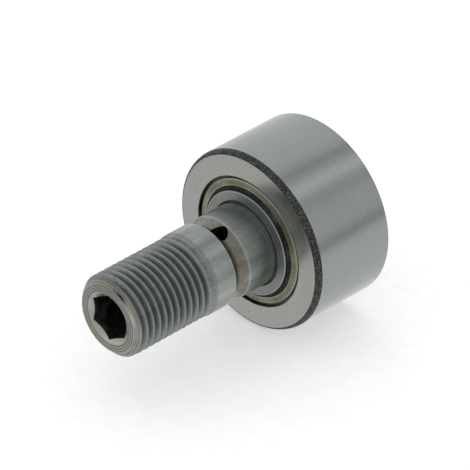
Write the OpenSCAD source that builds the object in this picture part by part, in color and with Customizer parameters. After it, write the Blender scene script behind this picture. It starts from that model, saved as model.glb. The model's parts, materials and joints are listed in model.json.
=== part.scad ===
// Stud-type track roller (cam follower): a thick outer ring that turns on two rows of cylindrical
// rollers round a threaded stud, with a pressed flange ring and a lip seal at each end.
// Axis along Y, threaded end towards -Y, +Z up. The origin is on the axis, on the shoulder plane.
// Each module draws in stud space: z runs along the axis towards the threaded end, 0 at the shoulder.

/* [Outer ring] */
// Diameter of the rolling surface
roller_d = 35; // [33:0.5:40]
// Width of the outer ring
ring_w = 18; // [17:0.5:24]
// How far the tread's corner on the shank side is rounded along the axis
corner_z = 1.5; // [0.5:0.1:2]
// How far that corner is rounded across the axis
corner_r = 0.75; // [0.3:0.05:1]
// Rounding of the tread's corner on the head side
rear_corner = 0.3; // [0.1:0.05:1]
// Thickness of each side rib
rib_t = 2; // [1.9:0.1:2.5]
// Bore radius of the side ribs, where the seal shells sit
seat_r = 12.25; // [12.15:0.05:12.5]
// Radius of the counterbore round each seal shell
counterbore_r = 12.6; // [12.55:0.05:13.2]
// Depth of that counterbore
counterbore_depth = 0.7; // [0.4:0.1:1]

/* [Roller rows] */
// Number of rollers in each row
rollers_per_row = 17; // [15:1:17]
// Diameter of a roller
roller_pin_d = 4.4; // [4.2:0.05:4.45]
// Clearance between a roller and each race
race_gap = 0.05; // [0.02:0.01:0.08]
// Clearance at each end of a roller
end_gap = 0.05; // [0.03:0.01:0.1]
// Rounding at the rim of a roller end
pin_edge = 0.25; // [0.1:0.05:0.4]

/* [Stud] */
// Diameter of the ground shank
shank_d = 16; // [14:0.5:16]
// Diameter of the land that the flange ring is pressed on
land_d = 16.4; // [16.1:0.05:16.6]
// Length of the shank from the shoulder to the threaded end
stud_len = 33.3; // [30:0.1:45]
// Radius of the inner race on the stud
inner_race_r = 10; // [9.8:0.1:10.1]
// Radius of the contact face of the head and of the flange ring
shoulder_r = 10.15; // [10.15:0.05:10.3]
// How far the flange ring stands proud of the outer ring
shoulder_proud = 0.8; // [0.5:0.1:1.2]
// How far the head stands proud of the outer ring
head_proud = 0.7; // [0.5:0.1:1.2]
// Rounding of the shoulder's edge
shoulder_edge = 0.3; // [0.1:0.05:0.5]
// Radius of the step that guides the roller ends
guide_r = 11.7; // [11.4:0.1:11.7]
// Thickness of that step
guide_t = 0.9; // [0.6:0.1:1]
// Chamfer at the threaded end
tip_chamfer = 1.2; // [0.8:0.1:1.5]

/* [Thread] */
// Diameter over the crests, a little under the shank's
thread_d = 15.68; // [13.9:0.02:15.96]
// Thread pitch
pitch = 1.5; // [1:0.25:2]
// Length of the thread
thread_len = 17.3; // [10:0.1:20]
// Length over which the thread runs out past its inner end
run_out = 0.8; // [0.5:0.1:1.5]
// Direction round the axis in which the groove passes the inner end of the thread, in degrees
thread_phase = 175; // [0:1:359]
// Flat facets in one turn of the thread
thread_sides = 24; // [16:4:36]

/* [Lubrication] */
// Distance of the lubrication groove from the shoulder
groove_z = 8.2; // [6:0.1:9]
// Width of the groove at the shank surface
groove_w = 3.4; // [3:0.1:5]
// Depth of the groove
groove_depth = 1; // [0.5:0.1:1.4]
// Diameter of the duct that opens in the groove
groove_duct_d = 3.2; // [2:0.1:3.4]
// Diameter of the duct that opens in the inner race
race_duct_d = 2; // [1:0.5:2.5]
// Diameter of the duct along the axis
axial_duct_d = 4; // [3:0.5:5]
// Direction of the radial ducts round the axis, in degrees
duct_angle = 75; // [0:1:359]

/* [Hexagon sockets] */
// Size across the flats
hex_af = 8; // [6:0.5:8]
// Depth of the socket in the threaded end
tip_hex_depth = 9; // [6:0.5:12]
// Depth of the socket in the head
head_hex_depth = 5; // [3:0.5:6]
// Radius of the countersink round a socket
sink_r = 5; // [4.8:0.1:5.4]

/* [Seals] */
// Radius of the hole in a seal shell
shell_hole_r = 10.8; // [10.6:0.05:11]
// Sheet thickness of a seal shell
shell_t = 0.4; // [0.3:0.05:0.4]
// Depth of the dish in a seal shell's face
shell_dish = 0.27; // [0.1:0.01:0.3]
// Bend radius at the rim of a seal shell
shell_bend = 0.3; // [0.1:0.05:0.4]
// Gap between a lip and the face that it runs round
lip_gap = 0.05; // [0.03:0.01:0.1]
// How far the free edge of a lip stands out from the outer ring's face
lip_proud = 0.5; // [0.1:0.1:0.5]

/* [Output] */
// Sub-part to draw

/* [Hidden] */
$fn = 96;
// Facet counts of a hexagon and of a small bore
hexagon = 6;
bore_sides = 48;
// Steps in a rounded profile corner, and in the round bottom of the groove
arc_steps = 6;
groove_steps = 10;
// How far a cutter runs past the face that it cuts
past = 1;
// Small chamfer at the mouth of the flange ring's bore
bore_chamfer = 0.1;
// Height of a lip's contact band, and the flat at its free edge
lip_contact = 0.3;
lip_edge = 0.1;

outer_r = roller_d / 2;
shank_r = shank_d / 2;
land_r = land_d / 2;
thread_r = thread_d / 2;
pin_r = roller_pin_d / 2;

// Stations along the axis, from the shoulder towards the head
front_z = -shoulder_proud;
front_rib_z = front_z - rib_t;
mid_z = front_z - ring_w / 2;
rear_rib_z = 2 * mid_z - front_rib_z;
head_z = 2 * mid_z - front_z - head_proud;

// Radii and lengths of the roller rows
pitch_r = inner_race_r + race_gap + pin_r;
outer_race_r = pitch_r + pin_r + race_gap;
row_len = ring_w / 2 - rib_t;
pin_len = row_len - 2 * end_gap;

// Seal shells: the leg pressed into the seat ends just short of the rollers
leg_r = seat_r - shell_t;
leg_end_z = front_rib_z + 0.2;
lip_r = shoulder_r + lip_gap;

// Thread form with 60 degree flanks
thread_start = stud_len - thread_len;
thread_depth = 0.6134 * pitch;
crest_flat = pitch / 8;
root_half = (pitch - crest_flat) / 2 - thread_depth * tan(30);
// How far the cutter's outer edge clears the crests
cutter_rise = 0.12;

NUMBERS = [for (i = [1:rollers_per_row]) str(i < 10 ? "0" : "", i)];

// A quarter round in a profile, from the end face at z to the side at r
function corner(r, z, dr, dz) = [
    for (k = [0:arc_steps])
        let (a = 90 - 90 * k / arc_steps)
        [r - dr + dr * cos(a), z - dz + dz * sin(a)]
];

// A profile reflected in the middle plane of the outer ring, in reverse order
function reflected(points) = [
    for (k = [len(points) - 1:-1:0]) [points[k][0], 2 * mid_z - points[k][1]]
];

// Height of the dished face of a seal shell at a radius
function dish_z(r) = front_z - shell_dish * (r - shell_hole_r) / (seat_r - shell_hole_r);

// Round bottom of the lubrication groove, from its edge near the shoulder to its far edge
function groove_points() =
    let (
        half = groove_w / 2,
        arc_r = (half * half + groove_depth * groove_depth) / (2 * groove_depth),
        reach = asin(half / arc_r)
    )
    [
        for (k = [0:groove_steps])
            let (a = reach * (2 * k / groove_steps - 1))
            [
                shank_r - groove_depth + arc_r * (1 - cos(a)),
                groove_z + arc_r * sin(a)
            ]
    ];

// Moves a piece from stud space to the part's own frame
module placed() {
    rotate([90, 0, 0])
        children();
}

// A solid of revolution from a list of [radius, z] points
module turned(points) {
    rotate_extrude()
        polygon(points);
}

// A round duct from the axis out through the surface at a station
module radial_duct(d, z) {
    translate([0, 0, z])
        rotate([0, 90, duct_angle])
            cylinder(h = outer_r, d = d, $fn = bore_sides);
}

// A hexagon socket with its countersink, cut downwards from z = 0
module hexagon_socket(depth) {
    sink_depth = sink_r * tan(30);
    translate([0, 0, -depth])
        rotate([0, 0, 30])
            cylinder(h = depth + past, r = hex_af / sqrt(3), $fn = hexagon);
    translate([0, 0, -sink_depth])
        cylinder(h = sink_depth, r1 = 0, r2 = sink_r);
    cylinder(h = past, r = sink_r);
}

// The helical groove between the crests, as a cutter that starts outside the shank, dips to full
// depth over the run-out and leaves past the tip
module thread_cutter() {
    low_z = thread_start - run_out;
    high_z = stud_len + pitch;
    rings = ceil((high_z - low_z) / pitch * thread_sides);
    dip_rings = run_out / pitch * thread_sides;
    top_half = root_half + (thread_depth + cutter_rise) * tan(30);
    section = [
        [thread_r - thread_depth, -root_half],
        [thread_r + cutter_rise, -top_half],
        [thread_r + cutter_rise, top_half],
        [thread_r - thread_depth, root_half]
    ];
    points = [
        for (k = [0:rings])
            let (
                z = low_z + pitch * k / thread_sides,
                a = thread_phase + 360 * (z - thread_start) / pitch,
                lift = max(0, 1 - k / dip_rings) * (thread_depth + cutter_rise)
            )
            for (p = section)
                [(p[0] + lift) * cos(a), (p[0] + lift) * sin(a), z + p[1]]
    ];
    sides = [
        for (k = [0:rings - 1])
            for (j = [0:3])
                let (
                    near = 4 * k + j,
                    near_next = 4 * k + (j + 1) % 4
                )
                for (face = [
                    [near, near_next + 4, near + 4],
                    [near, near_next, near_next + 4]
                ]) face
    ];
    ends = [[3, 2, 1, 0], [for (j = [0:3]) 4 * rings + j]];
    polyhedron(points = points, faces = concat(sides, ends), convexity = 20);
}

module stud() {
    head = concat(
        corner(shoulder_r, 2 * mid_z - head_z, shoulder_edge, shoulder_edge),
        [[shoulder_r, front_rib_z + guide_t], [guide_r, front_rib_z + guide_t], [guide_r, front_rib_z]]
    );
    blank = concat(
        [[0, head_z]],
        [for (p = head) [p[0], 2 * mid_z - p[1]]],
        [[inner_race_r, rear_rib_z], [inner_race_r, front_rib_z], [land_r, front_rib_z]],
        [[land_r, shank_r - land_r], [shank_r, 0]],
        groove_points(),
        [[shank_r, thread_start - run_out], [thread_r, thread_start - run_out + shank_r - thread_r]],
        [[thread_r, stud_len - tip_chamfer], [thread_r - tip_chamfer, stud_len], [0, stud_len]]
    );
    color("#8d9190")
        placed()
            difference() {
                turned(blank);
                thread_cutter();
                translate([0, 0, stud_len])
                    hexagon_socket(tip_hex_depth);
                translate([0, 0, head_z])
                    mirror([0, 0, 1])
                        hexagon_socket(head_hex_depth);
                translate([0, 0, head_z + head_hex_depth - past])
                    cylinder(
                        h = stud_len - head_z - tip_hex_depth - head_hex_depth + 2 * past,
                        d = axial_duct_d
                    );
                radial_duct(groove_duct_d, groove_z);
                radial_duct(race_duct_d, mid_z);
            }
}

// Pressed on the stud's land against the inner race, it carries the shoulder face
module flange_ring() {
    color("#9a9d9b")
        placed()
            turned(concat(
                [[land_r, front_rib_z], [land_r, -bore_chamfer], [land_r + bore_chamfer, 0]],
                corner(shoulder_r, 0, shoulder_edge, shoulder_edge),
                [[shoulder_r, front_rib_z + guide_t], [guide_r, front_rib_z + guide_t]],
                [[guide_r, front_rib_z]]
            ));
}

// The thick ring that rolls on the cam or track, with its two side ribs
module outer_ring() {
    step_z = front_z - counterbore_depth;
    inside = [
        [outer_race_r, front_rib_z], [seat_r, front_rib_z], [seat_r, step_z],
        [counterbore_r, step_z], [counterbore_r, front_z]
    ];
    color("#7f8482")
        placed()
            turned(concat(
                inside,
                corner(outer_r, front_z, corner_r, corner_z),
                reflected(corner(outer_r, front_z, rear_corner, rear_corner)),
                reflected(inside)
            ));
}

// Profile of the sheet-metal angle ring pressed into a side rib
function shell_points() = concat(
    [[shell_hole_r, dish_z(shell_hole_r) - shell_t], [shell_hole_r, dish_z(shell_hole_r)]],
    corner(seat_r, dish_z(seat_r), shell_bend, shell_bend),
    [[seat_r, leg_end_z], [leg_r, leg_end_z], [leg_r, dish_z(leg_r) - shell_t]]
);

// Profile of the rubber bonded behind the shell, with its lip that leans on the shoulder's side
function lip_points() =
    let (
        back_z = front_rib_z + guide_t + 0.2,
        top_z = front_z + lip_proud
    )
    [
        [lip_r, top_z - lip_edge],
        [lip_r + lip_edge, top_z],
        [shell_hole_r, front_z - lip_edge],
        [shell_hole_r, dish_z(shell_hole_r) - shell_t],
        [leg_r, dish_z(leg_r) - shell_t],
        [leg_r, back_z],
        [shell_hole_r, back_z],
        [lip_r, top_z - lip_edge - lip_contact]
    ];

module front_seal_shell() {
    color("#7d7f68")
        placed()
            turned(shell_points());
}

module front_seal_lip() {
    color("#262725")
        placed()
            turned(lip_points());
}

module rear_seal_shell() {
    color("#7d7f68")
        placed()
            turned(reflected(shell_points()));
}

module rear_seal_lip() {
    color("#262725")
        placed()
            turned(reflected(lip_points()));
}

// One cylindrical roller with rounded rims; low_z is the end of its row nearest the head
module bearing_roller(low_z, number) {
    top = corner(pin_r, pin_len, pin_edge, pin_edge);
    color("#b4b8b6")
        placed()
            rotate([0, 0, 360 * number / rollers_per_row])
                translate([pitch_r, 0, low_z + end_gap])
                    turned(concat(
                        [[0, pin_len]],
                        top,
                        [for (k = [len(top) - 1:-1:0]) [top[k][0], pin_len - top[k][1]]],
                        [[0, 0]]
                    ));
}

stud();
flange_ring();
outer_ring();
front_seal_shell();
front_seal_lip();
rear_seal_shell();
rear_seal_lip();
for (i = [1:rollers_per_row]) {
    bearing_roller(mid_z, i);
    bearing_roller(rear_rib_z, i);
}
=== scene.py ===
"""Looks of a stud-type track roller: turned, ground and threaded steel with a lip seal.

Lengths are in millimetres in "stud space", where z runs along the axis from the shoulder towards the
threaded end and the angle is measured from +X towards +Z. place() turns that into the frame's metres.
"""

import json
import math

import bmesh
import bpy
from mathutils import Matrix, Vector


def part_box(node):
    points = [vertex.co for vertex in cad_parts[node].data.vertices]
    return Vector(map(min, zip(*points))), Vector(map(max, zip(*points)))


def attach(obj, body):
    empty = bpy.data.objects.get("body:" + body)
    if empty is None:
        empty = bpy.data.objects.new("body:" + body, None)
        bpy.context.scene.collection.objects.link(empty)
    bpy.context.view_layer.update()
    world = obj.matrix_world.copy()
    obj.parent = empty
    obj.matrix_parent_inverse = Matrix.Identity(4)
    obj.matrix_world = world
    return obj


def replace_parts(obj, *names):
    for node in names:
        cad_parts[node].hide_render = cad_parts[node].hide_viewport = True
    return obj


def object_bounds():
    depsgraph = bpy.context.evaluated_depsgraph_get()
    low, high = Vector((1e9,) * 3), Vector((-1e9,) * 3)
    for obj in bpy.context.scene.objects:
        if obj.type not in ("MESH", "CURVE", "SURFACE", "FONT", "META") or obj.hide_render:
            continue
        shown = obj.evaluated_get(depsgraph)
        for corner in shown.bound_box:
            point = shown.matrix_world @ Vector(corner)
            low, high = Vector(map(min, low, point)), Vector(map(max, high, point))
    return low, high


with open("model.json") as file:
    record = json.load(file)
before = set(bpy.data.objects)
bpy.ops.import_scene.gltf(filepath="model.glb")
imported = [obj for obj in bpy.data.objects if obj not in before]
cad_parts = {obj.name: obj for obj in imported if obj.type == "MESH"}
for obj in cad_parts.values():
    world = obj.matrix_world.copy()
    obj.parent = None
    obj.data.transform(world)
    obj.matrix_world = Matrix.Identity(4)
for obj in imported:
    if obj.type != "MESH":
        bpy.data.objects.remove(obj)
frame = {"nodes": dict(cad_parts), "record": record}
cad_low, cad_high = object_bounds()

MM = 0.001
SEGMENTS = 288
HEX_SIDES = 6

# ---------------------------------------------------------------- sizes, read from the frame


def station(y):
    """A height in the frame, in metres, as a station in stud space."""
    return -y / MM


def box_mm(node):
    """(outer radius, station nearest the tip, station nearest the head) of a round CAD node."""
    low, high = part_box(node)
    radius = min(high.x, -low.x, high.z, -low.z)
    return radius / MM, station(low.y), station(high.y)


ring_r, front_z, rear_z = box_mm("outer_ring")
guide_r, tip_z, head_z = box_mm("stud")
shoulder_z, front_rib_z = box_mm("flange_ring")[1:]
seat_r, _, shell_leg_z = box_mm("front_seal_shell")
leg_r, lip_face_z, lip_back_z = box_mm("front_seal_lip")
mounts = {m["name"]: m for m in frame["record"]["mounts"]}
shank_r = mounts["shank"]["dims"]["r_mm"]
mid_z = (front_z + rear_z) / 2
rear_rib_z = 2 * mid_z - front_rib_z

# Sizes inside the pieces, which a box doesn't give
COUNTERBORE_R = 12.6
COUNTERBORE_DEPTH = 0.7
# Width of the dark rim on the face round the counterbore, painted shade that widens the dark line of the
# gap
COUNTERBORE_RIM = 0.18
CORNER_R = 0.75
CORNER_Z = 1.5
REAR_CORNER = 0.3
OUTER_RACE_R = 14.5
INNER_RACE_R = 10.0
SHOULDER_R = 10.15
# Rounding of the shoulders' outer edges, on the flange ring and the head, which carry wear and a thin
# painted highlight
SHOULDER_EDGE = 0.3
GUIDE_T = 0.9
SHELL_HOLE_R = 10.8
SHELL_T = 0.4
SHELL_DISH = 0.27
LIP_GAP = 0.05
GROOVE_Z = 8.2
GROOVE_W = 3.4
GROOVE_DEPTH = 1.0
DUCT_R = 1.6
DUCT_ANGLE = math.radians(75)
AXIAL_DUCT_R = 2.0
HEX_AF = 8.0
SINK_R = 5.0
SINK_SLOPE = math.tan(math.radians(30))
TIP_HEX_DEPTH = 9.0
HEAD_HEX_DEPTH = 5.0
# How far a socket's wall stands in from the edge of its countersink
SOCKET_EDGE = 0.03
TIP_CHAMFER = 1.2
PITCH = 1.5
THREAD_START = 16.0
THREAD_R = 7.84
LAND_R = 8.2
# Depth of an external metric thread, which is a fixed share of its pitch, and its flanks' slope
THREAD_DEPTH = 0.6134 * PITCH
FLANK_SLOPE = math.tan(math.radians(30))
THREAD_PHASE = math.radians(175)
RUN_OUT = 0.8
# How softly the flanks pass into the root and the crests
FLANK_SOFT = 0.05
# Where the plain shank ends and the sheet of the thread begins, and over how long they blend
THREAD_LOW_Z = THREAD_START - RUN_OUT - 0.9
THREAD_BLEND = 0.3
# The painted highlight along the crests lies this far from the middle of the groove, and is this wide
CREST_HIGHLIGHT = 0.66
CREST_HIGHLIGHT_WIDTH = 0.06
TIP_R = THREAD_R - TIP_CHAMFER
# Where the thread breaks out through the edge of the end face: the middle of the nick, how far it
# spreads round the axis (in radians) and along it, and its depth
NICK_ANGLE = math.radians(63)
NICK_INSET = 0.2
NICK_SPREAD = 0.16
NICK_LENGTH = 0.22
NICK_DEPTH = 0.6
# Where a painted highlight lies on the edge of the end face, and how far it spreads
EDGE_HIGHLIGHT_ANGLE = math.radians(22)
EDGE_HIGHLIGHT_SPREAD = 0.25
EDGE_HIGHLIGHT_LENGTH = 0.45
# Distance between the turning lines on the chamfer, and how bright their painted highlight is
CHAMFER_LINE = 0.4
CHAMFER_LINE_HIGHLIGHT = 0.35

# ---------------------------------------------------------------- meshes

# Steps of a rounded corner, and the most of either neighbouring span that the rounding may take
ARC_STEPS = 4
ARC_SHARE = 0.45
# How far wear and dirt, with their painted highlight and painted shade, fade out past a rounded corner,
# and the most of a span that they may take
EDGE_MARK_FADE = 0.22
EDGE_MARK_SHARE = 0.2
# Vertices nearer than this, in metres, are one
MERGE = 1e-7


def place(r, angle, z):
    """A point in stud space as a point in the frame, in metres."""
    return Vector((r * math.cos(angle), -z, r * math.sin(angle))) * MM


def fillet(before, corner, after, radius):
    """Points of an arc that rounds a corner of an outline, and the side that the outline turns to."""
    a, c, b = Vector(before), Vector(corner), Vector(after)
    u, v = (a - c).normalized(), (b - c).normalized()
    half = u.angle(v) / 2
    room = min((a - c).length, (b - c).length)
    reach = min(radius / math.tan(half), room * ARC_SHARE)
    start, end = c + u * reach, c + v * reach
    centre = c + (u + v).normalized() * (reach / math.cos(half))
    first, last = start - centre, end - centre
    sweep = first.angle(last)
    points = []
    for k in range(ARC_STEPS + 1):
        t = k / ARC_STEPS
        mix = (first * math.sin((1 - t) * sweep) + last * math.sin(t * sweep)) / math.sin(sweep)
        points.append(centre + mix)
    return points, u.cross(v)


def outline(corners, closed=True):
    """Turns [(r, z, rounding, finish of the span that follows)] into rings (r, z, finish,
    wear_and_highlight, dirt_and_shade).
    Raised corners get wear and a painted highlight, hollow ones dirt and painted shade, and both fade
    out over a short way along the span.
    A closed outline runs outwards over its front face, and an open one up its outside."""
    rings = []
    count = len(corners)
    for i, (r, z, radius, finish) in enumerate(corners):
        before, after = corners[i - 1], corners[(i + 1) % count]
        end = not closed and i in (0, count - 1)
        if end or radius <= 0:
            rings.append((r, z, finish, 0.0, 0.0))
            continue
        arc, side = fillet(before[:2], (r, z), after[:2], radius)
        raised = (side > 0) == closed
        wear_and_highlight, dirt_and_shade = (1.0, 0.0) if raised else (0.0, 1.0)
        back = Vector(before[:2]) - Vector((r, z))
        ahead = Vector(after[:2]) - Vector((r, z))
        a = arc[0] + back.normalized() * min(EDGE_MARK_FADE, back.length * EDGE_MARK_SHARE)
        b = arc[-1] + ahead.normalized() * min(EDGE_MARK_FADE, ahead.length * EDGE_MARK_SHARE)
        rings.append((a.x, a.y, corners[i - 1][3], 0.0, 0.0))
        for k, p in enumerate(arc):
            span = corners[i - 1][3] if k < ARC_STEPS // 2 else finish
            rings.append((p.x, p.y, span, wear_and_highlight, dirt_and_shade))
        rings.append((b.x, b.y, finish, 0.0, 0.0))
    return rings


def reflected(corners):
    """The same corners seen from the other side of the outer ring, in reverse order."""
    flipped = [(r, 2 * mid_z - z, radius, finish) for r, z, radius, finish in reversed(corners)]
    finishes = [c[3] for c in flipped]
    return [c[:3] + (f,) for c, f in zip(flipped, finishes[1:] + finishes[:1])]


class Solid:
    """A mesh under construction, made of rings of vertices round the axis. Every vertex carries how
    much wear and painted highlight, and how much dirt and painted shade, it has, and finishes lists the
    looks in the order of the material slots."""

    def __init__(self, name):
        self.name = name
        self.bm = bmesh.new()
        self.wear_and_highlight = self.bm.verts.layers.float.new("wear_and_highlight")
        self.dirt_and_shade = self.bm.verts.layers.float.new("dirt_and_shade")
        self.finishes = []

    def slot(self, finish):
        if finish not in self.finishes:
            self.finishes.append(finish)
        return self.finishes.index(finish)

    def vert(self, r, angle, z, wear_and_highlight, dirt_and_shade):
        v = self.bm.verts.new(place(r, angle, z))
        v[self.wear_and_highlight], v[self.dirt_and_shade] = wear_and_highlight, dirt_and_shade
        return v

    def ring(self, r, z, wear_and_highlight=0.0, dirt_and_shade=0.0):
        """A ring of vertices. r and z are numbers, or functions of the angle."""
        made = []
        for i in range(SEGMENTS):
            angle = 2 * math.pi * i / SEGMENTS
            ri = r(angle) if callable(r) else r
            zi = z(angle) if callable(z) else z
            made.append(self.vert(ri, angle, zi, wear_and_highlight, dirt_and_shade))
        return made

    def quad(self, corners, finish):
        """A face between four vertices, or between three if two of them are the same."""
        kept = [v for i, v in enumerate(corners) if v is not corners[i - 1]]
        if len(kept) < 3:
            return
        face = self.bm.faces.new(kept)
        face.material_index = self.slot(finish)
        face.smooth = True

    def skin(self, a, b, finish):
        """Faces between two rings."""
        for i in range(SEGMENTS):
            j = (i + 1) % SEGMENTS
            self.quad((a[i], a[j], b[j], b[i]), finish)

    def revolve(self, rings, closed=True):
        """Faces between all rings (r, z, finish, wear_and_highlight, dirt_and_shade) in turn."""
        made = [self.ring(r, z, wear_and_highlight, dirt_and_shade) for r, z, _, wear_and_highlight, dirt_and_shade in rings]
        for k in range(len(made) - 1):
            self.skin(made[k], made[k + 1], rings[k][2])
        if closed:
            self.skin(made[-1], made[0], rings[-1][2])
        return made

    def finish(self, body, slot, sharp_angle=35):
        """Cleans the mesh, gives it its materials, and ties it to its body. slot, the name of its CAD
        material, is not used.
        """
        bmesh.ops.remove_doubles(self.bm, verts=self.bm.verts, dist=MERGE)
        bmesh.ops.dissolve_degenerate(self.bm, dist=MERGE / 10, edges=self.bm.edges)
        bmesh.ops.recalc_face_normals(self.bm, faces=self.bm.faces)
        mesh = bpy.data.meshes.new(self.name)
        self.bm.to_mesh(mesh)
        self.bm.free()
        mesh.set_sharp_from_angle(angle=math.radians(sharp_angle))
        for name in self.finishes:
            mesh.materials.append(FINISHES[name])
        piece = bpy.data.objects.new(self.name, mesh)
        bpy.context.scene.collection.objects.link(piece)
        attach(piece, body)
        return piece


# ---------------------------------------------------------------- materials


class Graph:
    """The node tree of a material or a world, with short calls for the nodes that are used here."""

    def __init__(self, owner):
        owner.use_nodes = True
        self.owner = owner
        self.tree = owner.node_tree
        self.tree.nodes.clear()
        coordinates = self.node("ShaderNodeTexCoord")
        self.point = coordinates.outputs["Object"]
        self.direction = coordinates.outputs["Generated"]

    def node(self, kind, **settings):
        made = self.tree.nodes.new(kind)
        for key, value in settings.items():
            setattr(made, key, value)
        return made

    def feed(self, socket, value):
        if isinstance(value, bpy.types.NodeSocket):
            self.tree.links.new(value, socket)
        else:
            socket.default_value = value

    def math(self, operation, a, b=0.0):
        made = self.node("ShaderNodeMath", operation=operation)
        for socket, value in zip(made.inputs, (a, b)):
            self.feed(socket, value)
        return made.outputs[0]

    def blend(self, a, b, share):
        """share of a, and the rest of b."""
        rest = self.math("MULTIPLY", b, 1 - share)
        return self.math("ADD", self.math("MULTIPLY", a, share), rest)

    def carried(self, name, share):
        """The wear and painted highlight, or the dirt and painted shade, that the mesh carries, times a
        share.
        """
        carried = self.node("ShaderNodeAttribute", attribute_name=name).outputs["Fac"]
        return self.math("MULTIPLY", carried, share)

    def split(self, vector):
        made = self.node("ShaderNodeSeparateXYZ")
        self.feed(made.inputs[0], vector)
        return made.outputs

    def scaled_point(self, x, y, z):
        """The local point, in metres, times a factor for each axis."""
        made = self.node("ShaderNodeVectorMath", operation="MULTIPLY")
        self.feed(made.inputs[0], self.point)
        made.inputs[1].default_value = (x, y, z)
        return made.outputs[0]

    def cylindrical(self):
        """(distance from the stud's axis, position along it), in millimetres."""
        x, y, z = self.split(self.point)
        squared = self.math("ADD", self.math("MULTIPLY", x, x), self.math("MULTIPLY", z, z))
        radius = self.math("MULTIPLY", self.math("SQRT", squared), 1 / MM)
        return radius, self.math("MULTIPLY", y, -1 / MM)

    def noise(self, vector, detail=3.0, roughness=0.5):
        made = self.node("ShaderNodeTexNoise")
        self.feed(made.inputs["Vector"], vector)
        made.inputs["Scale"].default_value = 1.0
        made.inputs["Detail"].default_value = detail
        made.inputs["Roughness"].default_value = roughness
        return made.outputs["Fac"]

    def grain(self, per_metre, detail=3.0, roughness=0.5):
        """Noise that is alike in all directions, with per_metre cells to a metre."""
        return self.noise(self.scaled_point(per_metre, per_metre, per_metre), detail, roughness)

    def turning(self, pitch_mm):
        """Fine marks left by a lathe or a grinding wheel: noise that is long round the axis and
        short across the marks, both along the radius and along the axis."""
        radius, along = self.cylindrical()
        wander = self.grain(90, detail=2)
        across = self.math("ADD", radius, self.math("MULTIPLY", wander, 0.25))
        made = self.node("ShaderNodeCombineXYZ")
        self.feed(made.inputs[0], self.math("DIVIDE", across, pitch_mm))
        self.feed(made.inputs[1], self.math("DIVIDE", along, pitch_mm))
        return self.noise(made.outputs[0], detail=4, roughness=0.6)

    def ramp(self, value, stops, interpolation="LINEAR"):
        """A colour ramp from [(position, (r, g, b))]."""
        made = self.node("ShaderNodeValToRGB")
        self.feed(made.inputs[0], value)
        made.color_ramp.interpolation = interpolation
        elements = made.color_ramp.elements
        while len(elements) < len(stops):
            elements.new(0.5)
        for element, (position, colour) in zip(elements, stops):
            element.position = position
            element.color = (*colour, 1)
        return made.outputs["Color"]

    def span(self, value, low, high, to_low=0.0, to_high=1.0):
        """value mapped from low..high to to_low..to_high, and held inside it."""
        made = self.node("ShaderNodeMapRange")
        for socket, number in zip(made.inputs, (value, low, high, to_low, to_high)):
            self.feed(socket, number)
        return made.outputs[0]

    def mix(self, share, a, b):
        made = self.node("ShaderNodeMix", data_type="RGBA")
        self.feed(made.inputs["Factor"], share)
        self.feed(made.inputs["A"], a if isinstance(a, bpy.types.NodeSocket) else (*a, 1))
        self.feed(made.inputs["B"], b if isinstance(b, bpy.types.NodeSocket) else (*b, 1))
        return made.outputs["Result"]

    def bump(self, height, depth_mm, before=None):
        made = self.node("ShaderNodeBump")
        made.inputs["Strength"].default_value = 1.0
        made.inputs["Distance"].default_value = depth_mm * MM
        self.feed(made.inputs["Height"], height)
        if before is not None:
            self.feed(made.inputs["Normal"], before)
        return made.outputs["Normal"]

    def surface(self, colour, roughness, normal, metallic=1.0, specular=0.5, glow=0.0):
        shader = self.node("ShaderNodeBsdfPrincipled")
        self.feed(shader.inputs["Base Color"], colour)
        self.feed(shader.inputs["Roughness"], roughness)
        self.feed(shader.inputs["Normal"], normal)
        shader.inputs["Metallic"].default_value = metallic
        shader.inputs["Specular IOR Level"].default_value = specular
        if glow:
            self.feed(shader.inputs["Emission Color"], colour)
            shader.inputs["Emission Strength"].default_value = glow
        output = self.node("ShaderNodeOutputMaterial")
        self.feed(output.inputs["Surface"], shader.outputs[0])
        return self.owner


def material_graph(name):
    return Graph(bpy.data.materials.new(name))


def shade(colour, factor):
    return tuple(c * factor for c in colour)


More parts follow.
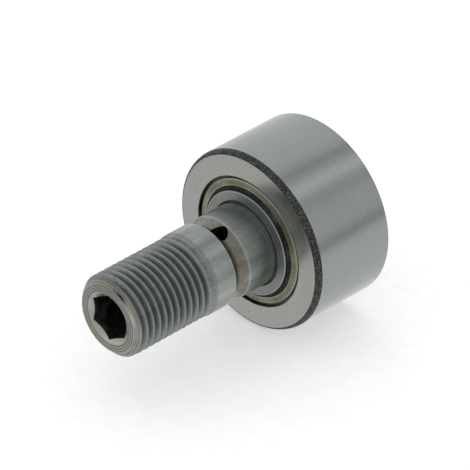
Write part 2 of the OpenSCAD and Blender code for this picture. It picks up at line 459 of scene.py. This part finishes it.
def steel(
    name,
    colour,
    marks_mm,
    mark_depth_mm,
    rough=(0.24, 0.36),
    contrast=0.16,
    wear_and_highlight_gain=1.35,
    dirt_and_shade_tint=(0.10, 0.095, 0.08),
    stain=None,
    wave_mm=0.0015,
    grain=0.0,
    painted_streak=0.0,
):
    """Bare steel with marks round its axis, cloudy variation, brighter edges and darker corners. The
    brighter edges are wear with a painted highlight, and the darker corners dirt with painted shade.
    marks_mm and mark_depth_mm are how wide and deep the marks are, and rough is the range of the
    roughness. wave_mm is how uneven the surface is under the marks, grain how strongly it is speckled
    and painted_streak how strongly painted reflection streaks, lighter and darker, run along the axis."""
    g = material_graph(name)
    marks = g.turning(marks_mm)
    cloud = g.grain(160, detail=5, roughness=0.6)
    fine = g.grain(2600, detail=3)
    base = g.ramp(
        g.blend(marks, cloud, 0.6),
        [(0.3, shade(colour, 1 - contrast)), (0.5, colour), (0.7, shade(colour, 1 + contrast))],
    )
    if stain is not None:
        base = g.mix(g.span(cloud, 0.4, 0.65, 0.1, 0.7), base, stain)
    # Painted reflection streaks: lighter and darker bands that run along the axis
    if painted_streak:
        reflection_streaks = g.noise(g.scaled_point(520, 90, 520), detail=3, roughness=0.55)
        base = g.mix(g.span(reflection_streaks, 0.5, 0.66, 0.0, painted_streak), base, shade(colour, 1.5))
        base = g.mix(g.span(reflection_streaks, 0.5, 0.34, 0.0, painted_streak), base, shade(colour, 0.72))
    if grain:
        speck = g.grain(2300, detail=4, roughness=0.75)
        base = g.mix(g.span(speck, 0.5, 0.38, 0.0, grain), base, shade(colour, 0.3))
        base = g.mix(g.span(speck, 0.54, 0.66, 0.0, grain), base, shade(colour, 1.9))
    # Raised edges are painted lighter: wear, and a painted highlight
    wear_and_highlight = g.carried("wear_and_highlight", g.span(cloud, 0.3, 0.7, 0.55, 1.0))
    base = g.mix(wear_and_highlight, base, shade(colour, wear_and_highlight_gain))
    # Hollow corners and thread roots are painted darker: dirt, and painted shade
    dirt_and_shade = g.carried("dirt_and_shade", g.span(cloud, 0.25, 0.7, 0.6, 1.0))
    base = g.mix(dirt_and_shade, base, dirt_and_shade_tint)
    rougher = g.math("ADD", g.span(marks, 0.3, 0.7, *rough), g.math("MULTIPLY", dirt_and_shade, 0.25))
    wave = g.noise(g.scaled_point(480, 170, 480), detail=2)
    normal = g.bump(fine, 0.002, g.bump(marks, mark_depth_mm, g.bump(wave, wave_mm)))
    return g.surface(base, rougher, normal)


def blackened(name):
    """The tread's corners, which the grinding wheel left dark, with a speckle of bare metal."""
    g = material_graph(name)
    speckle = g.grain(3600, detail=4, roughness=0.7)
    patch = g.grain(420, detail=3)
    base = g.ramp(
        speckle,
        [(0.36, (0.016, 0.017, 0.016)), (0.52, (0.055, 0.058, 0.055)), (0.68, (0.2, 0.21, 0.2))],
    )
    wear_and_highlight = g.carried("wear_and_highlight", g.span(patch, 0.4, 0.7, 0.1, 0.8))
    base = g.mix(wear_and_highlight, base, (0.3, 0.31, 0.3))
    rough = g.span(speckle, 0.3, 0.7, 0.55, 0.4)
    return g.surface(base, rough, g.bump(speckle, 0.012), metallic=0.8)


def olive_sheet(name):
    """Passivated sheet steel of the seal shells."""
    g = material_graph(name)
    speckle = g.grain(2400, detail=4, roughness=0.65)
    patch = g.grain(260, detail=4)
    base = g.ramp(
        g.blend(speckle, patch, 0.45),
        [(0.32, (0.11, 0.118, 0.072)), (0.5, (0.2, 0.212, 0.142)), (0.68, (0.32, 0.335, 0.25))],
    )
    # Rims get wear and a painted highlight, hollow corners dirt and painted shade
    base = g.mix(g.carried("wear_and_highlight", 0.4), base, (0.56, 0.56, 0.47))
    base = g.mix(g.carried("dirt_and_shade", 0.8), base, (0.06, 0.06, 0.04))
    rough = g.span(patch, 0.3, 0.7, 0.42, 0.3)
    return g.surface(base, rough, g.bump(speckle, 0.006), metallic=0.9)


def black_rubber(name):
    """The seal lip's rubber, with a pale bloom in patches."""
    g = material_graph(name)
    grain = g.grain(3000, detail=4, roughness=0.7)
    bloom = g.grain(300, detail=4)
    base = g.ramp(
        g.blend(grain, bloom, 0.5),
        [(0.42, (0.003, 0.003, 0.003)), (0.5, (0.01, 0.011, 0.009)), (0.62, (0.07, 0.075, 0.062))],
    )
    rough = g.span(bloom, 0.3, 0.7, 0.5, 0.7)
    return g.surface(base, rough, g.bump(grain, 0.02), metallic=0.0, specular=0.25)


def painted_shade_hollow(name):
    """Dark steel with some oxide and oil, for the walls of sockets and for the gaps between pieces: its
    darkness is painted shade for these hollows.
    """
    g = material_graph(name)
    film = g.grain(500, detail=4)
    base = g.ramp(
        film,
        [(0.35, (0.03, 0.028, 0.026)), (0.55, (0.08, 0.074, 0.066)), (0.75, (0.17, 0.16, 0.15))],
    )
    # The countersinks' rims get wear and a painted highlight
    base = g.mix(g.carried("wear_and_highlight", 0.8), base, (0.42, 0.42, 0.4))
    rough = g.span(film, 0.3, 0.7, 0.35, 0.55)
    return g.surface(base, rough, g.bump(film, 0.01), metallic=0.9)


def painted_shade_duct(name):
    """The wall of the lubrication duct, wet with dark oil and painted near black as the shade inside the
    hole.
    """
    g = material_graph(name)
    film = g.grain(900, detail=4)
    base = g.ramp(
        film,
        [(0.35, (0.002, 0.0015, 0.001)), (0.55, (0.006, 0.004, 0.003)), (0.75, (0.03, 0.02, 0.012))],
    )
    rough = g.span(film, 0.3, 0.7, 0.6, 0.8)
    return g.surface(base, rough, g.bump(film, 0.02), metallic=0.0, specular=0.1)


# Colours of bare metal, and the look of every surface by the name that the outlines use
GREY = (0.39, 0.418, 0.4)
WARM_GREY = (0.235, 0.232, 0.205)
FACE_GREY = (0.4, 0.415, 0.384)
FINISHES = {
    "tread": steel(
        "tread_ground_steel", GREY, 0.35, 0.0008, rough=(0.11, 0.16), contrast=0.05, grain=0.06
    ),
    "ring_face": steel(
        "ring_face_ground_steel", FACE_GREY, 0.28, 0.0015, rough=(0.22, 0.3), contrast=0.09, grain=0.12
    ),
    "corner": blackened("tread_corner_dark_steel"),
    "race": steel(
        "race_lapped_steel", shade(GREY, 1.1), 0.2, 0.001, rough=(0.12, 0.2), contrast=0.06
    ),
    "gap": painted_shade_hollow("gap_painted_shade_steel"),
    "flange": steel(
        "flange_turned_steel", shade(GREY, 0.6), 0.22, 0.01, rough=(0.26, 0.38), contrast=0.3,
        wear_and_highlight_gain=1.4, grain=0.3,
    ),
    "shank": steel(
        "shank_ground_steel", shade(GREY, 0.93), 0.3, 0.0012, rough=(0.26, 0.36), contrast=0.09,
        wave_mm=0.014, grain=0.14, painted_streak=0.5,
    ),
    "groove": steel(
        "groove_turned_steel", (0.265, 0.265, 0.23), 0.3, 0.006, rough=(0.3, 0.42), contrast=0.14,
        stain=(0.215, 0.203, 0.14), wave_mm=0.006, grain=0.2, painted_streak=0.5,
    ),
    "thread": steel(
        "thread_cut_steel", shade(GREY, 0.67), 0.25, 0.003, rough=(0.3, 0.42), contrast=0.15,
        wear_and_highlight_gain=1.35, dirt_and_shade_tint=(0.11, 0.115, 0.11), wave_mm=0.006, grain=0.3, painted_streak=0.35,
    ),
    "end_face": steel(
        "end_face_turned_steel", WARM_GREY, 0.4, 0.05, rough=(0.25, 0.4), contrast=0.95,
        wear_and_highlight_gain=3.0, dirt_and_shade_tint=(0.13, 0.128, 0.11), wave_mm=0.02, grain=0.28,
    ),
    "socket": painted_shade_hollow("socket_painted_shade_steel"),
    "duct": painted_shade_duct("duct_painted_shade_steel"),
    "shell": olive_sheet("seal_shell_olive_steel"),
    "rubber": black_rubber("seal_lip_rubber"),
    "roller": steel(
        "roller_lapped_steel", shade(GREY, 1.3), 0.2, 0.0006, rough=(0.08, 0.14), contrast=0.05
    ),
}

# ---------------------------------------------------------------- the outer ring and its seals


def tread_corner(across, along):
    """A quarter round from the ring's front face to the tread. Its last step is already bright."""
    steps = 8
    made = []
    for k in range(steps + 1):
        a = math.radians(90 - 90 * k / steps)
        r = ring_r - across + across * math.cos(a)
        z = front_z - along + along * math.sin(a)
        finish = "tread" if k >= steps - 1 else "corner"
        made.append((r, z, 0.0, finish))
    return made


def build_outer_ring():
    """Both halves are alike inside, and only their corners at the tread differ."""
    step_z = front_z - COUNTERBORE_DEPTH
    inside = [
        (OUTER_RACE_R, front_rib_z, 0.15, "race"),
        # From the seat to the rim on the face, the dark finish of the gaps paints the shade of the gap
        # round the seal shell
        (seat_r, front_rib_z, 0.08, "gap"),
        (seat_r, step_z, 0.05, "gap"),
        (COUNTERBORE_R, step_z, 0.08, "gap"),
        (COUNTERBORE_R, front_z, 0.0, "gap"),
        (COUNTERBORE_R + COUNTERBORE_RIM, front_z, 0.0, "ring_face"),
    ]
    front = inside + tread_corner(CORNER_R, CORNER_Z)
    rear = inside + tread_corner(REAR_CORNER, REAR_CORNER)
    solid = Solid("outer_ring_turned")
    solid.revolve(outline(front + reflected(rear)))
    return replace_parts(solid.finish("outer_ring_group", "ring_steel"), "outer_ring")


def dish_z(r):
    """Height of the dished face of a seal shell at a radius."""
    return front_z - SHELL_DISH * (r - SHELL_HOLE_R) / (seat_r - SHELL_HOLE_R)


def build_shell(name, node, turn_over):
    """A pressed ring with a leg in the outer ring's seat. turn_over places it at its side."""
    corners = [
        (SHELL_HOLE_R, dish_z(SHELL_HOLE_R) - SHELL_T, 0.05, "shell"),
        (SHELL_HOLE_R, dish_z(SHELL_HOLE_R), 0.1, "shell"),
        (seat_r, dish_z(seat_r), 0.3, "shell"),
        (seat_r, shell_leg_z, 0.05, "shell"),
        (leg_r, shell_leg_z, 0.05, "shell"),
        (leg_r, dish_z(leg_r) - SHELL_T, 0.15, "shell"),
    ]
    solid = Solid(name)
    solid.revolve(outline(turn_over(corners)))
    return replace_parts(solid.finish("outer_ring_group", "seal_shell"), node)


def build_lip(name, node, turn_over):
    """The rubber faces the shoulder's side, slopes down to the hole in the shell and fills the
    shell from behind, a hair's breadth clear of it."""
    lip_r = SHOULDER_R + LIP_GAP
    clear = 0.01

    def under_shell_z(r):
        return dish_z(r) - SHELL_T - clear

    corners = [
        (lip_r, lip_face_z - 0.1, 0.03, "rubber"),
        (lip_r + 0.1, lip_face_z, 0.05, "rubber"),
        (SHELL_HOLE_R - 0.22, front_z + 0.05, 0.1, "rubber"),
        (SHELL_HOLE_R - 0.02, front_z - 0.12, 0.02, "rubber"),
        (SHELL_HOLE_R - clear, under_shell_z(SHELL_HOLE_R), 0.0, "rubber"),
        (leg_r - clear, under_shell_z(leg_r), 0.0, "rubber"),
        (leg_r - clear, lip_back_z, 0.05, "rubber"),
        (SHELL_HOLE_R, lip_back_z, 0.05, "rubber"),
        (lip_r, lip_face_z - 0.4, 0.05, "rubber"),
    ]
    solid = Solid(name)
    solid.revolve(outline(turn_over(corners)))
    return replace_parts(solid.finish("outer_ring_group", "seal_rubber"), node)


# ---------------------------------------------------------------- the flange ring and the stud


def lathe_marks(start_r, end_r, count, share, start_z, end_z, finish):
    """Corners of a face with coarse marks from a pointed lathe tool. Each mark leaves start_z for
    end_z over a share of its width, and comes back over the rest."""
    step = (end_r - start_r) / count
    marks = []
    for k in range(count):
        r = start_r + step * k
        marks += [(r, start_z, 0.0, finish), (r + step * share, end_z, 0.0, finish)]
    return marks


def build_flange_ring():
    """The ring pressed on the shank, with the turned shoulder face."""
    deep = 0.04
    corners = [
        (LAND_R, front_rib_z, 0.05, "flange"),
        # The bore's chamfer takes the dark finish of the gaps: a painted shade line where the shank
        # meets the ring
        (LAND_R, shoulder_z - 0.1, 0.0, "gap"),
        (LAND_R + 0.1, shoulder_z, 0.0, "flange"),
        *lathe_marks(LAND_R + 0.12, SHOULDER_R - 0.4, 5, 0.6, shoulder_z - deep, shoulder_z, "flange"),
        (SHOULDER_R, shoulder_z, SHOULDER_EDGE, "flange"),
        (SHOULDER_R, front_rib_z + GUIDE_T, 0.1, "flange"),
        (guide_r, front_rib_z + GUIDE_T, 0.08, "flange"),
        (guide_r, front_rib_z, 0.08, "flange"),
    ]
    solid = Solid("flange_ring_turned")
    solid.revolve(outline(corners))
    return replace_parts(solid.finish("stud_group", "flange_steel", sharp_angle=50), "flange_ring")


def hex_r(angle):
    """Distance from the axis to the wall of a hexagon socket whose corners point up and down."""
    step = 2 * math.pi / HEX_SIDES
    return HEX_AF / 2 / math.cos((angle + step / 2) % step - step / 2)


def groove_corners():
    """The round groove: a crisp edge on the thread's side and a soft one on the shoulder's side."""
    half = GROOVE_W / 2
    arc_r = (half**2 + GROOVE_DEPTH**2) / (2 * GROOVE_DEPTH)
    edge_slope = half / (arc_r - GROOVE_DEPTH)
    start, end, count, soft = -half - 0.5, half, 26, 0.055
    made = []
    for k in range(count + 1):
        z = start + (end - start) * k / count
        if z > -half:
            depth = GROOVE_DEPTH - arc_r + math.sqrt(arc_r**2 - z**2)
        else:
            depth = (z + half) * edge_slope
        if z < 0:
            depth = (depth + math.sqrt(depth**2 + 4 * soft**2)) / 2
        finish = "shank" if z < -half + 0.05 or k == count else "groove"
        made.append((shank_r - depth, GROOVE_Z + z, 0.05 if k == count else 0.0, finish))
    return made


def socket_rings(face_z, depth, inward):
    """Rings of a socket from its countersink to its floor. inward is the way the socket goes in."""
    floor_z = face_z + inward * depth

    def sink_z(angle):
        return face_z + inward * (SINK_R - hex_r(angle)) * SINK_SLOPE

    def wall_r(angle):
        return hex_r(angle) - SOCKET_EDGE

    def wall_z(angle):
        return sink_z(angle) + inward * SOCKET_EDGE * 2

    return [
        # The countersink's rims carry wear and a painted highlight
        (SINK_R, face_z, "end_face", 0.6, 0.0),
        (hex_r, sink_z, "socket", 0.5, 0.0),
        (wall_r, wall_z, "socket", 0.0, 0.0),
        (wall_r, floor_z, "socket", 0.0, 1.0),
        (AXIAL_DUCT_R, floor_z, "socket", 0.0, 0.0),
    ]


def cut_duct(piece):
    """Drills the radial lubrication duct through the bottom of the groove."""
    direction = place(1, DUCT_ANGLE, 0).normalized()
    bpy.ops.mesh.primitive_cylinder_add(
        vertices=64,
        radius=DUCT_R * MM,
        depth=shank_r * MM,
        location=direction * (shank_r * MM) + place(0, 0, GROOVE_Z),
        rotation=direction.to_track_quat("Z", "Y").to_euler(),
    )
    drill = bpy.context.object
    drill.data.materials.append(FINISHES["duct"])
    cut = piece.modifiers.new("duct", "BOOLEAN")
    cut.operation, cut.object, cut.solver = "DIFFERENCE", drill, "EXACT"
    cut.material_mode = "TRANSFER"
    evaluated = piece.evaluated_get(bpy.context.evaluated_depsgraph_get())
    mesh = bpy.data.meshes.new_from_object(evaluated)
    piece.modifiers.clear()
    piece.data = mesh
    bpy.data.objects.remove(drill)


def thread_depth_at(distance):
    """Depth of the thread's groove at a distance from its middle, with a rounded root and crests.
    The crests are an eighth of the pitch wide."""
    root_half = (PITCH - PITCH / 8) / 2 - THREAD_DEPTH * FLANK_SLOPE
    flank = THREAD_DEPTH - (distance - root_half) / FLANK_SLOPE
    for limit, sign in ((THREAD_DEPTH, 1), (0.0, -1)):
        gap = sign * (limit - flank)
        flank = limit - sign * (gap + math.sqrt(gap**2 + FLANK_SOFT**2)) / 2
    return max(0.0, flank)


def bell(distance, width):
    """1 at no distance, falling off smoothly to both sides."""
    return math.exp(-((distance / width) ** 2))


def edge_highlight(angle):
    """How strong the painted highlight on the edge of the end face is at an angle."""
    return bell(angle - EDGE_HIGHLIGHT_ANGLE, EDGE_HIGHLIGHT_SPREAD)


def nick_at(angle, z):
    """Depth of the nick in the edge of the end face."""
    return NICK_DEPTH * bell(angle - NICK_ANGLE, NICK_SPREAD) * bell(z - tip_z + NICK_INSET, NICK_LENGTH)


def chamfer_highlight(angle, z):
    """The chamfer's painted highlights: bright turning lines, and a bright streak."""
    lines = 0.5 + 0.5 * math.cos((tip_z - z) * 2 * math.pi / CHAMFER_LINE)
    painted_streak = edge_highlight(angle) * bell(tip_z - z, EDGE_HIGHLIGHT_LENGTH)
    return max(painted_streak, CHAMFER_LINE_HIGHLIGHT * lines)


def build_thread(solid, start_ring, end_ring):
    """The helical thread, as a sheet that follows the helix, between a ring on the shank and the
    edge of the end face. Points past either ring are held on it and merge with it."""
    # The lines of the sheet across one pitch, by their distance from the middle of the groove
    offsets = [-0.72, -0.68, -0.64, -0.6, -0.52, -0.42, -0.32, -0.22, -0.14, -0.08, 0.0]
    offsets += [-o for o in reversed(offsets[:-1])]
    first_turn = -2
    turns = math.ceil((tip_z - THREAD_LOW_Z) / PITCH) + 3
    chamfered = set(end_ring)

    def vertex(i, turn, offset):
        angle = 2 * math.pi * i / SEGMENTS
        centre = THREAD_START + PITCH * (turn + (angle - THREAD_PHASE) / (2 * math.pi))
        z = centre + offset
        if z <= THREAD_LOW_Z:
            return start_ring[i]
        if z >= tip_z:
            return end_ring[i]
        before_start = max(0.0, 1 - (centre - (THREAD_START - RUN_OUT)) / RUN_OUT)
        depth = max(0.0, thread_depth_at(abs(offset)) - before_start * (THREAD_DEPTH + 0.12))
        blend = min(1.0, max(0.0, (z - THREAD_LOW_Z) / THREAD_BLEND))
        r = shank_r + (THREAD_R - shank_r) * blend - depth
        chamfer_r = TIP_R + tip_z - z
        nick = nick_at(angle, z)
        # The nick is painted dark all over as shade in the dent, and the rest of the chamfer gets no
        # painted shade
        nick_shade = min(1.0, nick * 5)
        if chamfer_r < r:
            made = solid.vert(chamfer_r - nick, angle, z, chamfer_highlight(angle, z), nick_shade)
            chamfered.add(made)
            return made
        # Painted shade, with dirt, darkens the thread towards its root
        dirt_and_shade = 0.5 * (depth / THREAD_DEPTH) ** 1.5
        # A painted highlight along the crests
        crest = bell(abs(offset) - CREST_HIGHLIGHT, CREST_HIGHLIGHT_WIDTH)
        return solid.vert(r - nick, angle, z, crest, max(dirt_and_shade, nick_shade))

    columns = [
        [vertex(i, first_turn + t, o) for t in range(turns) for o in offsets]
        for i in range(SEGMENTS)
    ]
    last = len(columns[0]) - 1
    for i in range(SEGMENTS):
        # The last column meets the first one a turn further on
        shift = len(offsets) if i == SEGMENTS - 1 else 0
        a, b = columns[i], columns[(i + 1) % SEGMENTS]
        for k in range(last):
            k0, k1 = min(k + shift, last), min(k + 1 + shift, last)
            corners = (a[k], b[k0], b[k1], a[k + 1])
            solid.quad(corners, "end_face" if chamfered.issuperset(corners) else "thread")


def turned_face(outer, z, inward):
    """Corners of an end face with shallow lathe marks, from the outside in to the countersink."""
    return lathe_marks(outer, SINK_R + 0.15, 3, 0.7, z, z + inward * 0.05, "end_face")


def core_corners():
    """The stud from its head's face to the start of its thread."""
    head_step_z = rear_rib_z - GUIDE_T
    return [
        *reversed(turned_face(SHOULDER_R - 0.45, head_z, 1)),
        (SHOULDER_R, head_z, SHOULDER_EDGE, "flange"),
        (SHOULDER_R, head_step_z, 0.1, "flange"),
        (guide_r, head_step_z, 0.08, "flange"),
        (guide_r, rear_rib_z, 0.08, "race"),
        (INNER_RACE_R, rear_rib_z, 0.05, "race"),
        (INNER_RACE_R, front_rib_z, 0.05, "race"),
        (LAND_R, front_rib_z, 0.0, "shank"),
        # The shank's chamfer under the ring takes the dark socket finish: painted shade for the same
        # line
        (LAND_R, shoulder_z - LAND_R + shank_r, 0.0, "socket"),
        (shank_r, shoulder_z, 0.0, "shank"),
        *groove_corners(),
        (shank_r, THREAD_LOW_Z, 0.0, "shank"),
    ]


def head_socket_rings():
    """The head's socket from its floor outwards. As a ring's finish is that of the span after it, the
    finishes move up by one when the order turns round."""
    rings = list(reversed(socket_rings(head_z, HEAD_HEX_DEPTH, 1)))
    finishes = [ring[2] for ring in rings[1:]] + ["end_face"]
    return [ring[:2] + (finish,) + ring[3:] for ring, finish in zip(rings, finishes)]


def build_core():
    """The stud without its thread and tip, closed by a cap of the finish "gap" while the duct is cut."""
    core = Solid("stud_core")
    made = core.revolve(head_socket_rings() + outline(core_corners(), closed=False), closed=False)
    inner_cap = core.ring(AXIAL_DUCT_R, THREAD_LOW_Z)
    core.skin(made[-1], inner_cap, "gap")
    core.skin(inner_cap, made[0], "socket")
    piece = core.finish("stud_group", "stud_steel")
    cut_duct(piece)
    return piece, core.finishes


def opened(name, piece, finishes):
    """A solid that takes over the core, less its cap, so that the thread can be added."""
    solid = Solid(name)
    solid.finishes = finishes + ["duct"]
    solid.bm.from_mesh(piece.data)
    solid.wear_and_highlight = solid.bm.verts.layers.float["wear_and_highlight"]
    solid.dirt_and_shade = solid.bm.verts.layers.float["dirt_and_shade"]
    cap = [f for f in solid.bm.faces if f.material_index == finishes.index("gap")]
    bmesh.ops.delete(solid.bm, geom=cap, context="FACES")
    bpy.data.objects.remove(piece)
    return solid


def end_face_rings():
    """The end face: the tops of its lathe marks are painted lighter, with wear and a painted highlight,
    and the bottoms darker, with dirt and painted shade.
    """
    rings = []
    for r, z, _, finish in turned_face(TIP_R - 0.12, tip_z, -1):
        wear_and_highlight, dirt_and_shade = (0.5, 0.0) if z == tip_z else (0.0, 0.7)
        rings.append((r, z, finish, wear_and_highlight, dirt_and_shade))
    return rings


def build_stud():
    """One closed skin: the core, then the thread, the end face, the tip's socket and the axial way."""
    whole = opened("stud_turned", *build_core())
    start_ring = whole.ring(shank_r, THREAD_LOW_Z)
    end_ring = whole.ring(TIP_R, tip_z)
    # The edge of the end face gets a painted highlight all round, strongest at the streak
    for i, v in enumerate(end_ring):
        v[whole.wear_and_highlight] = 0.45 + 0.55 * edge_highlight(2 * math.pi * i / SEGMENTS)
    build_thread(whole, start_ring, end_ring)
    tip = whole.revolve(end_face_rings() + socket_rings(tip_z, TIP_HEX_DEPTH, -1), closed=False)
    whole.skin(end_ring, tip[0], "end_face")
    inner = whole.ring(AXIAL_DUCT_R, THREAD_LOW_Z)
    whole.skin(tip[-1], inner, "socket")
    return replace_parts(whole.finish("stud_group", "stud_steel"), "stud")


build_outer_ring()
build_shell("front_seal_shell_pressed", "front_seal_shell", list)
build_shell("rear_seal_shell_pressed", "rear_seal_shell", reflected)
build_lip("front_seal_lip_moulded", "front_seal_lip", list)
build_lip("rear_seal_lip_moulded", "rear_seal_lip", reflected)
build_flange_ring()
build_stud()

for name, node in frame["nodes"].items():
    if "_roller_" in name:
        node.data.materials.clear()
        node.data.materials.append(FINISHES["roller"])

# ---------------------------------------------------------------- floor, light and camera

AZIMUTH, ELEVATION = math.radians(45.6), math.radians(33.9)
VIEW_WIDTH = 83.66 * MM
DISTANCE = 0.77
# Where the middle of the picture lies from the middle of the outer ring's front face
AIM_RIGHT, AIM_UP = -2.31 * MM, 1.19 * MM


def build_camera():
    to_camera = Vector(
        (
            math.sin(AZIMUTH) * math.cos(ELEVATION),
            -math.cos(AZIMUTH) * math.cos(ELEVATION),
            math.sin(ELEVATION),
        )
    )
    right = Vector((math.cos(AZIMUTH), math.sin(AZIMUTH), 0))
    aim = place(0, 0, front_z) + right * AIM_RIGHT + to_camera.cross(right) * AIM_UP
    data = bpy.data.cameras.new("camera")
    data.sensor_width = 36
    data.lens = data.sensor_width * DISTANCE / VIEW_WIDTH
    data.clip_start, data.clip_end = 0.05, 20
    camera = bpy.data.objects.new("camera", data)
    camera.location = aim + to_camera * DISTANCE
    camera.rotation_mode = "QUATERNION"
    camera.rotation_quaternion = to_camera.to_track_quat("Z", "Y")
    bpy.context.scene.collection.objects.link(camera)
    bpy.context.scene.camera = camera


def build_floor():
    """A large pale sheet that the roller rests on. It glows a little, and the metal doesn't see it."""
    size, steps = 3.0, 24
    bm = bmesh.new()
    bmesh.ops.create_grid(bm, x_segments=steps, y_segments=steps, size=size)
    for v in bm.verts:
        v.co.z = cad_low.z
    mesh = bpy.data.meshes.new("floor")
    bm.to_mesh(mesh)
    bm.free()
    floor = bpy.data.objects.new("floor", mesh)
    bpy.context.scene.collection.objects.link(floor)
    g = material_graph("floor_pale")
    tooth = g.grain(400, detail=4)
    base = g.ramp(tooth, [(0.3, (0.88, 0.88, 0.88)), (0.7, (0.92, 0.92, 0.92))])
    pale = g.surface(base, 0.9, g.bump(tooth, 0.01), metallic=0.0, specular=0.1, glow=0.45)
    mesh.materials.append(pale)
    floor.visible_glossy = False


def build_light(name, direction, distance, size, power):
    """A soft square light that faces the part from a direction. The metal mirrors the walls alone."""
    data = bpy.data.lights.new(name, "AREA")
    data.shape = "RECTANGLE"
    data.size, data.size_y = size, size
    data.energy = power
    light = bpy.data.objects.new(name, data)
    direction = Vector(direction).normalized()
    light.location = direction * distance
    light.rotation_mode = "QUATERNION"
    light.rotation_quaternion = direction.to_track_quat("Z", "Y")
    light.visible_glossy = False
    bpy.context.scene.collection.objects.link(light)


# Brightness of the studio round the part's axis, by the angle from +X towards +Z in degrees. It is
# pale all round, apart from three darker bands and a bright one on the camera's side.
STUDIO_BANDS = [
    (-180, 0.79),
    (-80, 0.77),
    (-46, 0.78),
    (-28, 0.77),
    (-15, 0.75),
    (-5, 0.34),
    (6, 0.68),
    (38, 0.62),
    (53, 0.44),
    (67, 1.0),
    (85, 0.33),
    (97, 0.66),
    (112, 0.72),
    (134, 0.74),
    (180, 0.79),
]
# The walls past this angle are a little bluer
COOL_FROM, COOL = 90, 1.04
# Directions nearer to the axis than this share of it see the studio's end walls
END_FROM, END_LEVEL = 0.75, 0.62
# What the camera sees past the floor
BACKDROP = 0.95


def build_world():
    """Pale studio walls, seen by the metal as soft bands along the part."""
    world = bpy.data.worlds.new("studio")
    bpy.context.scene.world = world
    g = Graph(world)
    x, y, z = g.split(g.direction)
    turn = g.span(g.math("ARCTAN2", z, x), -math.pi, math.pi)
    stops = []
    for degrees, level in STUDIO_BANDS:
        blue = level * (COOL if degrees > COOL_FROM else 1)
        stops.append(((degrees + 180) / 360, (level, level, blue)))
    bands = g.ramp(turn, stops, interpolation="B_SPLINE")
    end_share = g.span(g.math("ABSOLUTE", y), END_FROM, 1.0)
    walls = g.mix(end_share, bands, (END_LEVEL,) * 3)
    seen = g.node("ShaderNodeLightPath").outputs["Is Camera Ray"]
    background = g.node("ShaderNodeBackground")
    g.feed(background.inputs["Color"], g.mix(seen, walls, (BACKDROP,) * 3))
    output = g.node("ShaderNodeOutputWorld")
    g.feed(output.inputs[0], background.outputs[0])


build_camera()
build_floor()
build_world()
build_light("top_softbox", (-0.2, 0.3, 1.0), 1.2, 1.6, 2.0)
bpy.context.scene.view_settings.view_transform = "Standard"
